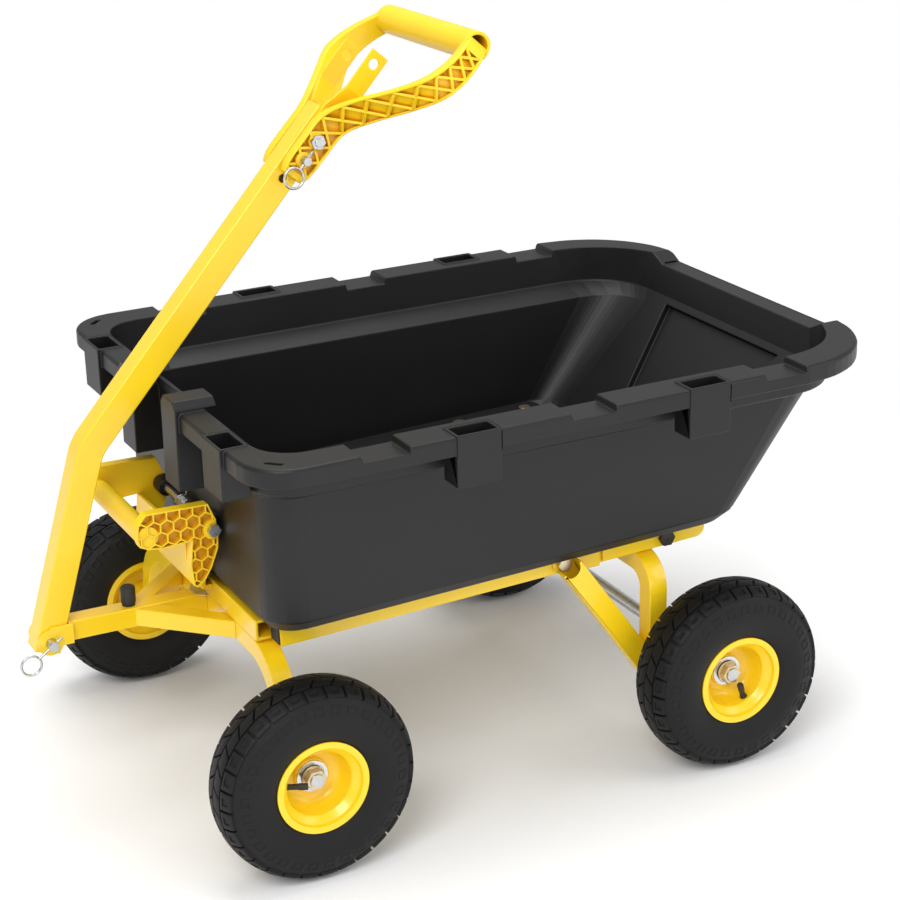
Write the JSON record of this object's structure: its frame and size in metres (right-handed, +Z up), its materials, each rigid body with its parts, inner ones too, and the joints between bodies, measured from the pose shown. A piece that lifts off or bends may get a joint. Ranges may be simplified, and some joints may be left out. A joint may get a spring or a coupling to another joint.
{
  "type": "tipping garden dump cart",
  "caption": "Pull cart with a moulded tub that tips over rear pivots, a steered front axle, pneumatic wheels, a bent pull handle with a D-grip and a tub release lever.",
  "frame": {"origin": "on the ground under the middle of the cart's overall box", "axes": "+X towards the dump end, +Y to the cart's right, +Z up; the pulled end is at -X"},
  "size_m": [1.032, 0.6608, 0.9045],
  "materials": {
    "tyre": "matte moulded rubber",
    "tube_rubber": "matte",
    "yellow_steel": "gloss enamel",
    "bearing_steel": "ground steel",
    "zinc": "zinc plated",
    "spring_steel": "drawn wire",
    "brass_plated": "yellow zinc plated",
    "black_plastic": "matte",
    "bumper_rubber": "matte",
    "tub_plastic": "fine moulded grain",
    "yellow_plastic": "satin moulded"
  },
  "bodies": {
    "chassis": {"rail_left": "yellow_steel", "rail_right": "yellow_steel", "rail_plugs": "black_plastic", "front_bolster": "yellow_steel", "rear_cross_member": "yellow_steel", "rear_arch": "yellow_steel", "rear_struts": "yellow_steel", "strut_bolts": "zinc", "rear_axle": "zinc", "rear_axle_nuts": "zinc", "pivot_bolts": "zinc", "kingpin": "zinc", "latch_striker": "yellow_steel"},
    "steered_axle": {"front_arch": "yellow_steel", "front_spindles": "zinc", "front_axle_nuts": "zinc", "drawbar": "yellow_steel", "tongue_braces": "yellow_steel", "tongue_bumper": "bumper_rubber", "clevis": "yellow_steel"},
    "wheel_front_left": {"tyre_front_left": "tyre", "inner_tube_front_left": "tube_rubber", "wheel_rim_front_left": "yellow_steel", "bearings_front_left": "bearing_steel"},
    "wheel_front_right": {"tyre_front_right": "tyre", "inner_tube_front_right": "tube_rubber", "wheel_rim_front_right": "yellow_steel", "bearings_front_right": "bearing_steel"},
    "wheel_rear_left": {"tyre_rear_left": "tyre", "inner_tube_rear_left": "tube_rubber", "wheel_rim_rear_left": "yellow_steel", "bearings_rear_left": "bearing_steel"},
    "wheel_rear_right": {"tyre_rear_right": "tyre", "inner_tube_rear_right": "tube_rubber", "wheel_rim_rear_right": "yellow_steel", "bearings_rear_right": "bearing_steel"},
    "pull_pin": {"handle_pin": "zinc", "handle_pin_clip": "zinc"},
    "handle": {"handle_tube": "yellow_steel", "hitch_tabs": "yellow_steel", "handle_grip": "yellow_plastic", "grip_bolt": "zinc", "lock_pin": "zinc", "lock_pin_clip": "zinc"},
    "tub": {"tub": "tub_plastic", "tub_rim": "tub_plastic", "hinge_brackets": "yellow_steel", "tub_bolts": "brass_plated", "lever_pivot_rod": "zinc", "lever_spring": "spring_steel"},
    "lever": {"release_lever": "yellow_plastic"}
  },
  "joints": [
    {"name": "steer", "type": "hinge", "parent": "chassis", "child": "steered_axle", "pos_m": [-0.26295, 0, 0.2275], "axis": [0, 0, 1], "range_deg": [-25, 25]},
    {"name": "tub_tip", "type": "hinge", "parent": "chassis", "child": "tub", "pos_m": [0.25605, 0, 0.27685], "axis": [0, 1, 0], "range_deg": [0, 90]},
    {"name": "lever_pull", "type": "hinge", "parent": "tub", "child": "lever", "pos_m": [-0.29295, 0, 0.356], "axis": [0, 1, 0], "range_deg": [0, 20], "stiffness_Nm_per_rad": 1.2, "springref_deg": -14.32, "deforming": ["lever_spring"]},
    {"name": "pin_turn", "type": "hinge", "parent": "steered_axle", "child": "pull_pin", "pos_m": [-0.47445, 0, 0.221], "axis": [0, 1, 0], "range_deg": [-36, 0]},
    {"name": "handle_swing", "type": "hinge", "parent": "pull_pin", "child": "handle", "pos_m": [-0.47445, 0, 0.221], "axis": [0, 1, 0], "range_deg": [-125, 0]},
    {"name": "spin_front_left", "type": "hinge", "parent": "steered_axle", "child": "wheel_front_left", "pos_m": [-0.26295, -0.2905, 0.12], "axis": [0, 1, 0], "continuous": true},
    {"name": "spin_front_right", "type": "hinge", "parent": "steered_axle", "child": "wheel_front_right", "pos_m": [-0.26295, 0.2905, 0.12], "axis": [0, 1, 0], "continuous": true},
    {"name": "spin_rear_left", "type": "hinge", "parent": "chassis", "child": "wheel_rear_left", "pos_m": [0.29605, -0.2905, 0.12], "axis": [0, 1, 0], "continuous": true},
    {"name": "spin_rear_right", "type": "hinge", "parent": "chassis", "child": "wheel_rear_right", "pos_m": [0.29605, 0.2905, 0.12], "axis": [0, 1, 0], "continuous": true}
  ],
  "couplings": [
    {"joint": "pin_turn", "follows": "tub_tip", "ratio": -0.4}
  ]
}
